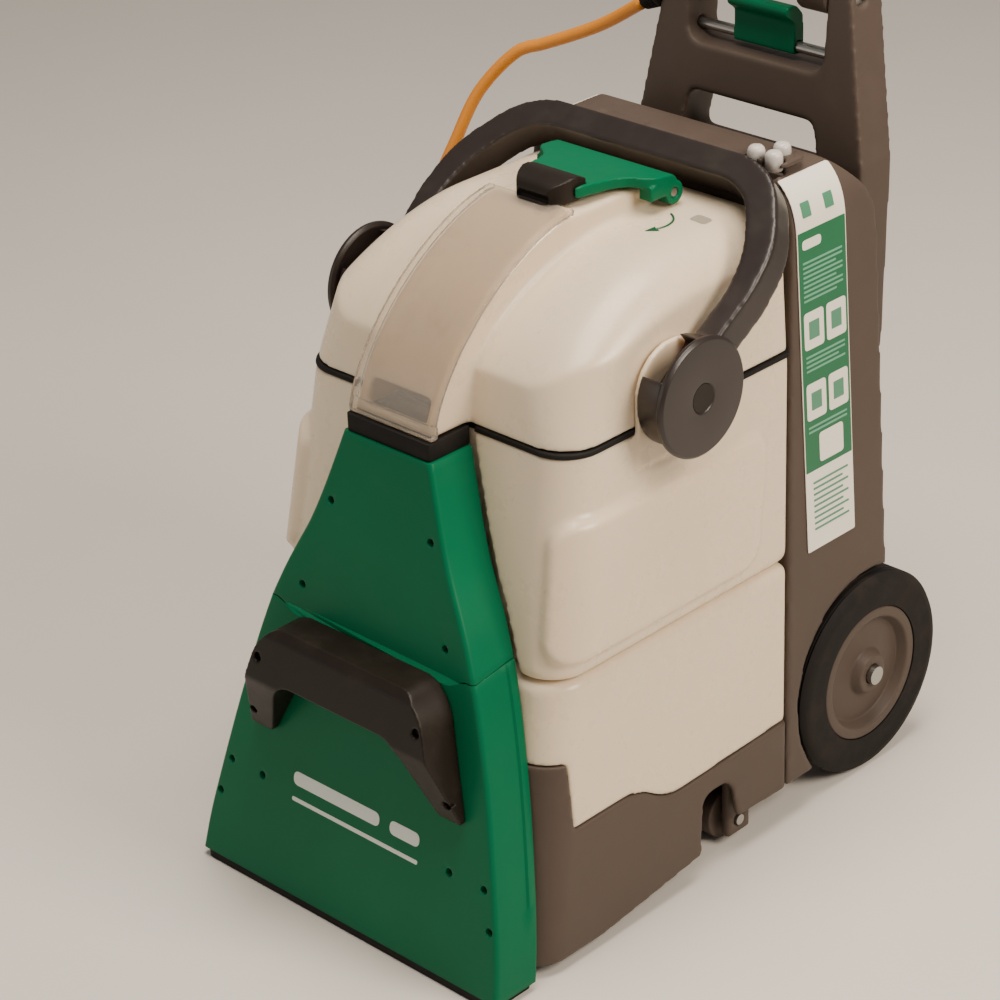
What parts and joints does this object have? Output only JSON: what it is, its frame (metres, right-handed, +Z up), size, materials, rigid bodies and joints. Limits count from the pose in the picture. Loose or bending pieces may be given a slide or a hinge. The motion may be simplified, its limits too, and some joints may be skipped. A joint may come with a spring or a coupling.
{
  "type": "spot extractor",
  "caption": "Upright walk-behind carpet extractor with a flat suction nozzle, domed lift-off tank under a carry arch, motor housing on wheels and a fold-down handle with trigger and mains cord.",
  "frame": {"origin": "on the floor, in the middle of the machine's footprint without its cord", "axes": "+Z up, the nozzle faces -Y, +X runs along the wheel axle"},
  "size_m": [0.4356, 0.6443, 1.095],
  "materials": {
    "green_plastic": "satin moulded green plastic",
    "ivory_plastic": "ivory moulded plastic, slightly translucent",
    "grey_plastic": "fine-textured warm grey plastic",
    "dark_plastic": "dark brown-black plastic",
    "arch_plastic": "dark warm grey plastic, semi-matt",
    "black_rubber": "matt black rubber",
    "tyre_rubber": "matt dark tyre",
    "clear_plastic": "clear moulded plastic",
    "steel": "brushed steel",
    "cord_jacket": "yellow-orange cord jacket",
    "label_print": "printed label film",
    "bristle": "nylon bristles"
  },
  "bodies": {
    "root": {"nozzle_lower": "green_plastic", "nozzle_upper": "green_plastic", "nozzle_seal": "black_rubber", "suction_lip": "black_rubber", "front_handle": "dark_plastic", "brush_motor": "steel", "drive_belt": "black_rubber", "spray_bar": "grey_plastic", "base_shell": "grey_plastic", "roller_axle": "steel", "lower_casing": "ivory_plastic", "water_pump": "dark_plastic", "rear_housing": "grey_plastic", "rear_cover": "grey_plastic", "side_label_right": "label_print", "side_label_left": "label_print", "vacuum_motor": "steel", "wheel_axle": "steel", "handle_frame": "grey_plastic", "fold_pin": "steel", "lever_axle": "steel", "strain_relief": "black_rubber", "power_cord": "cord_jacket", "cord_coil": "cord_jacket", "power_plug": "black_rubber"},
    "tank": {"tank_shell": "ivory_plastic", "tank_gasket": "black_rubber", "clean_bladder": "clear_plastic", "float_cage": "grey_plastic", "arch_pin_right": "dark_plastic", "arch_pin_left": "dark_plastic"},
    "float": {"float_ball": "ivory_plastic"},
    "lid": {"dome_lid": "ivory_plastic", "duct_cover": "clear_plastic", "latch_pin": "steel"},
    "latch": {"lid_latch": "green_plastic", "latch_grip": "black_rubber"},
    "arch": {"carry_arch": "arch_plastic", "arch_disc_right": "arch_plastic", "arch_disc_left": "arch_plastic"},
    "handle": {"upper_handle": "grey_plastic", "handle_grip": "black_rubber"},
    "hook": {"cord_hook_upper": "dark_plastic"},
    "trigger": {"spray_trigger": "green_plastic"},
    "lever": {"release_lever": "green_plastic"},
    "switch_front": {"switch_front": "clear_plastic"},
    "switch_back": {"switch_back": "clear_plastic"},
    "switch_inner": {"switch_inner": "clear_plastic"},
    "roller_right": {"roller_right": "grey_plastic"},
    "roller_left": {"roller_left": "grey_plastic"},
    "wheel_right": {"wheel_tyre_right": "tyre_rubber", "wheel_hub_right": "grey_plastic"},
    "wheel_left": {"wheel_tyre_left": "tyre_rubber", "wheel_hub_left": "grey_plastic"},
    "brush": {"brush_core": "dark_plastic", "brush_bristles": "bristle"},
    "brush_drive": {"motor_pulley": "black_rubber"},
    "fan": {"vacuum_fan": "steel"}
  },
  "joints": [
    {"name": "tank_lift", "type": "slide", "parent": "root", "child": "tank", "axis": [0, 0, 1], "range_m": [0, 0.17]},
    {"name": "float_rise", "type": "slide", "parent": "tank", "child": "float", "axis": [0, 0, 1], "range_m": [0, 0.01]},
    {"name": "arch_swing", "type": "hinge", "parent": "tank", "child": "arch", "pos_m": [0, -0.05882, 0.3769], "axis": [1, 0, 0], "range_deg": [0, 100]},
    {"name": "lid_lift", "type": "slide", "parent": "tank", "child": "lid", "axis": [0, 0, 1], "range_m": [0, 0.03]},
    {"name": "latch_open", "type": "hinge", "parent": "lid", "child": "latch", "pos_m": [0, 0.03188, 0.464], "axis": [-1, 0, 0], "range_deg": [0, 16]},
    {"name": "handle_fold", "type": "hinge", "parent": "root", "child": "handle", "pos_m": [0, 0.19188, 0.562], "axis": [-1, 0, 0], "range_deg": [-92, 0]},
    {"name": "hook_swivel", "type": "hinge", "parent": "handle", "child": "hook", "pos_m": [0, 0.24078, 0.864], "axis": [0, 0.995, -0.0995], "range_deg": [0, 180]},
    {"name": "trigger_squeeze", "type": "hinge", "parent": "handle", "child": "trigger", "pos_m": [0, 0.25288, 1.051], "axis": [-1, 0, 0], "range_deg": [0, 12], "stiffness_Nm_per_rad": 0.4, "springref_deg": -5.73},
    {"name": "lever_release", "type": "hinge", "parent": "root", "child": "lever", "pos_m": [0, 0.19188, 0.517], "axis": [1, 0, 0], "range_deg": [0, 25], "stiffness_Nm_per_rad": 0.5, "springref_deg": -5.73},
    {"name": "switch_front_press", "type": "slide", "parent": "root", "child": "switch_front", "axis": [0, 0, -1], "range_m": [0, 0.003], "stiffness_N_per_m": 300, "springref_m": -0.001},
    {"name": "switch_back_press", "type": "slide", "parent": "root", "child": "switch_back", "axis": [0, 0, -1], "range_m": [0, 0.003], "stiffness_N_per_m": 300, "springref_m": -0.001},
    {"name": "switch_inner_press", "type": "slide", "parent": "root", "child": "switch_inner", "axis": [0, 0, -1], "range_m": [0, 0.003], "stiffness_N_per_m": 300, "springref_m": -0.001},
    {"name": "roller_right_spin", "type": "hinge", "parent": "root", "child": "roller_right", "pos_m": [0, 0.00188, 0.019], "axis": [1, 0, 0], "continuous": true},
    {"name": "roller_left_spin", "type": "hinge", "parent": "root", "child": "roller_left", "pos_m": [0, 0.00188, 0.019], "axis": [1, 0, 0], "continuous": true},
    {"name": "wheel_right_spin", "type": "hinge", "parent": "root", "child": "wheel_right", "pos_m": [0, 0.14288, 0.078], "axis": [1, 0, 0], "continuous": true},
    {"name": "wheel_left_spin", "type": "hinge", "parent": "root", "child": "wheel_left", "pos_m": [0, 0.14288, 0.078], "axis": [1, 0, 0], "continuous": true},
    {"name": "brush_spin", "type": "hinge", "parent": "root", "child": "brush", "pos_m": [0, -0.17212, 0.029], "axis": [1, 0, 0], "continuous": true},
    {"name": "brush_motor_spin", "type": "hinge", "parent": "root", "child": "brush_drive", "pos_m": [0, -0.09212, 0.046], "axis": [1, 0, 0], "continuous": true},
    {"name": "fan_spin", "type": "hinge", "parent": "root", "child": "fan", "pos_m": [0, 0.11388, 0.214], "axis": [0, 0, 1], "continuous": true}
  ],
  "couplings": [
    {"joint": "lid_lift", "follows": "arch_swing", "m_per_rad": 0.017},
    {"joint": "brush_motor_spin", "follows": "brush_spin", "ratio": 2}
  ]
}
